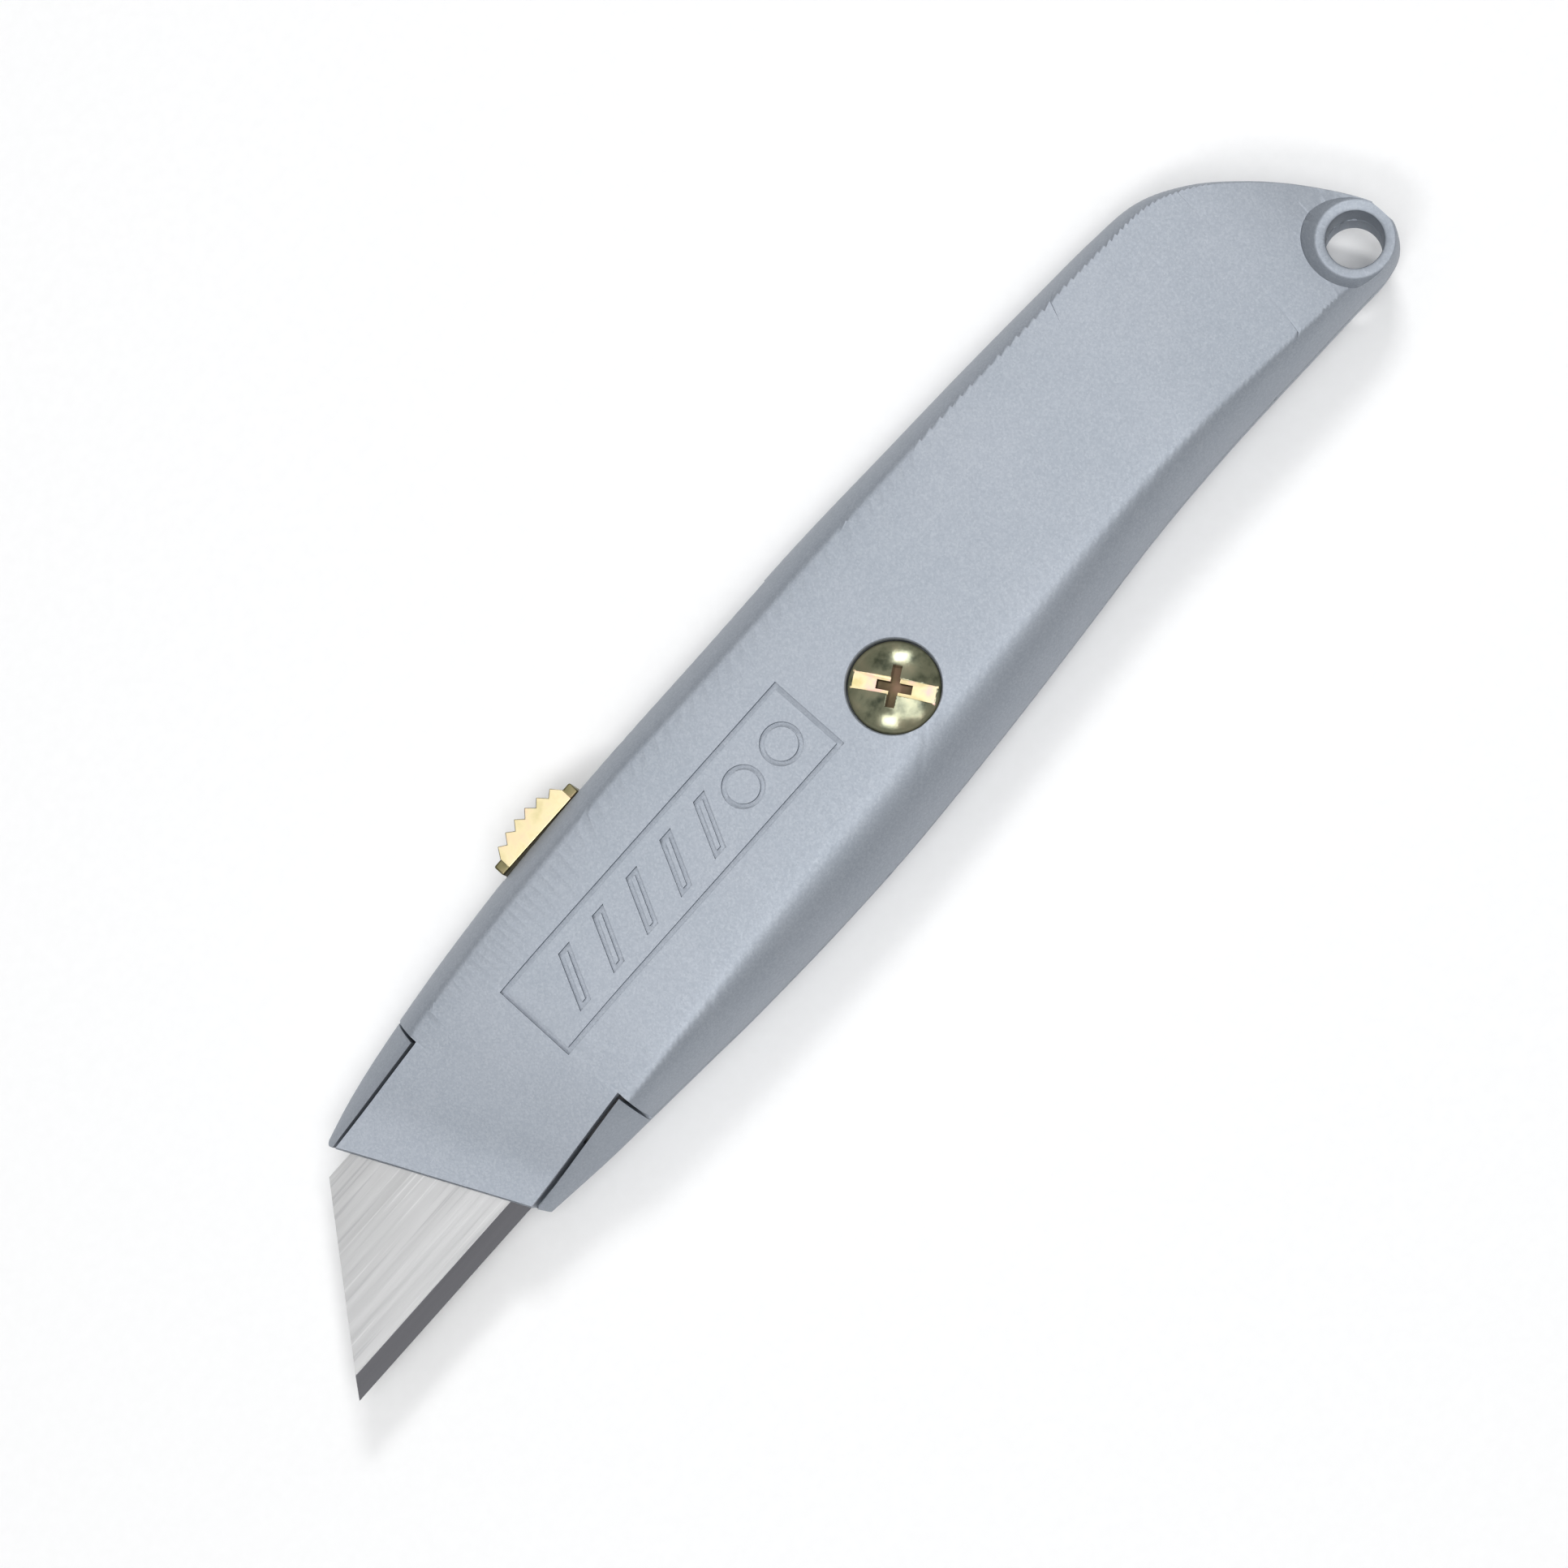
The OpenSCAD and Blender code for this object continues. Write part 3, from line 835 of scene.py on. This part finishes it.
def stage():
    """Camera, soft lights and a plain pale floor."""
    axes = camera()
    softbox("upper", axes, (-4, 44), 0.8, (0.20, 0.12), 1.6)
    softbox("lower", axes, (-16, -20), 0.8, (0.20, 0.13), 1.2)
    softbox("front", axes, (2, -2), 1.2, (0.6, 0.6), 7.8)
    ceiling_card(3, 35, 1.4, 0.9, 1.2)
    floor = new_object("floor", [(-900, -900, 0), (900, -900, 0), (900, 900, 0),
                                 (-900, 900, 0)], [[0, 1, 2, 3]])
    floor.location.z = CAD_BOX[0][2] - 0.0001
    wear(floor, floor_paper())
    scene = bpy.context.scene
    scene.view_settings.view_transform = "Standard"
    world = bpy.data.worlds.new("studio")
    scene.world = world
    world.use_nodes = True
    world.node_tree.nodes["Background"].inputs[0].default_value = (0.93, 0.96, 1.0, 1)
    world.node_tree.nodes["Background"].inputs[1].default_value = 0.12


# ---- the knife ----

def dress_nodes(finishes):
    """Give the CAD nodes that stay visible their materials."""
    for node, obj in frame["nodes"].items():
        if node in finishes:
            for slot in obj.material_slots:
                slot.material = finishes[node]


def place(obj, body, node):
    """A piece that moves with a body and stands for one CAD node."""
    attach(obj, body)
    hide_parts(node)


def main():
    stage()
    paint = casing_paint()
    bright = zinc("bright_zinc", (0.05, 0.06, 0.035), (0.20, 0.205, 0.13),
                  (0.27, 0.25, 0.16), 0.12, 0.20, 0.45)
    # Pale copy of the screw's zinc: painted reflection of the light above, for the slot's flat floor.
    slot_painted_reflection = zinc("slot_zinc_painted_reflection", (0.60, 0.52, 0.24), (0.78, 0.64, 0.38),
                 (0.84, 0.50, 0.46), 0.35, 0.5, 0.6)
    # Dark copy of the screw's zinc: painted shade for the inside of the cross recess.
    recess_painted_shade = zinc("recess_zinc_painted_shade", (0.10, 0.07, 0.03), (0.16, 0.11, 0.05),
                 (0.20, 0.12, 0.07), 0.45, 0.6, 0.4)
    pale = zinc("pale_zinc", (0.62, 0.54, 0.30), (0.72, 0.62, 0.38),
                (0.74, 0.55, 0.38), 0.30, 0.42)
    # Darker copy of the button's pale zinc: painted shade for the end blocks and the bevelled edges of the teeth.
    button_painted_shade = zinc("olive_zinc_painted_shade", (0.12, 0.11, 0.05), (0.20, 0.18, 0.09),
                 (0.26, 0.20, 0.12), 0.35, 0.5, 0.8)
    # Near-black copy of the zinc: painted shade for the neck and the hidden parts below it, under the button's
    # overhang.
    neck_painted_shade = zinc("neck_painted_shade_zinc", (0.02, 0.02, 0.012), (0.035, 0.032, 0.018),
                 (0.05, 0.04, 0.02), 0.6, 0.8, 0.0)
    steel = ground_steel("ground_steel")
    near = near_casing()
    wear(near, paint)
    place(near, "casing", "near_casing")
    far = far_casing()
    wear(far, paint)
    place(far, "casing", "far_casing")
    screw, floor_z = screw_head()
    wear(screw, bright, slot_painted_reflection, recess_painted_shade)
    # Painted reflection: the slot's upward-facing floor gets the pale copy of the zinc.
    finish_faces(screw, 1, lambda c, n: abs(c.z - floor_z) < 0.03 and n.z > 0.9)
    # Painted shade: the faces inside the cross recess, below the slot floor, get the dark copy of the zinc.
    finish_faces(screw, 2, lambda c, n: floor_z - 3 < c.z < floor_z - 0.03
                 and (c.xy - SCREW_AT.xy).length < 2.4)
    place(screw, "casing", "body_screw")
    button = thumb_button()
    wear(button, pale, button_painted_shade, neck_painted_shade)
    inner = (BUTTON_LOW.x + BUTTON_END - 0.02, BUTTON_HIGH.x - BUTTON_END + 0.02)
    # Painted shade: the end blocks and the tilted bevel strips along the teeth get the darker copy of the zinc.
    finish_faces(button, 1, lambda c, n: not inner[0] < c.x < inner[1] or 0.2 < n.z < 0.85)
    # Painted shade: every face below the neck's top gets the near-black copy of the zinc.
    finish_faces(button, 2, lambda c, n: c.y < NECK_Y - 0.02)
    place(button, "button", "thumb_button")
    leaf = leaf_spring()
    wear(leaf, steel)
    place(leaf, "carriage", "button_spring")
    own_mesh(leaf)
    # The blade's steel carries the painted dark reflection on its bevel, below BEVEL_Y.
    finishes = {"blade": ground_steel("blade_steel", BEVEL_Y), "blade_carrier": pale,
                "spring_rivets": pale, "spare_blade_clip": steel, "clip_rivet": steel}
    finishes.update({f"spare_blade_{k}": steel for k in range(1, 6)})
    dress_nodes(finishes)


main()
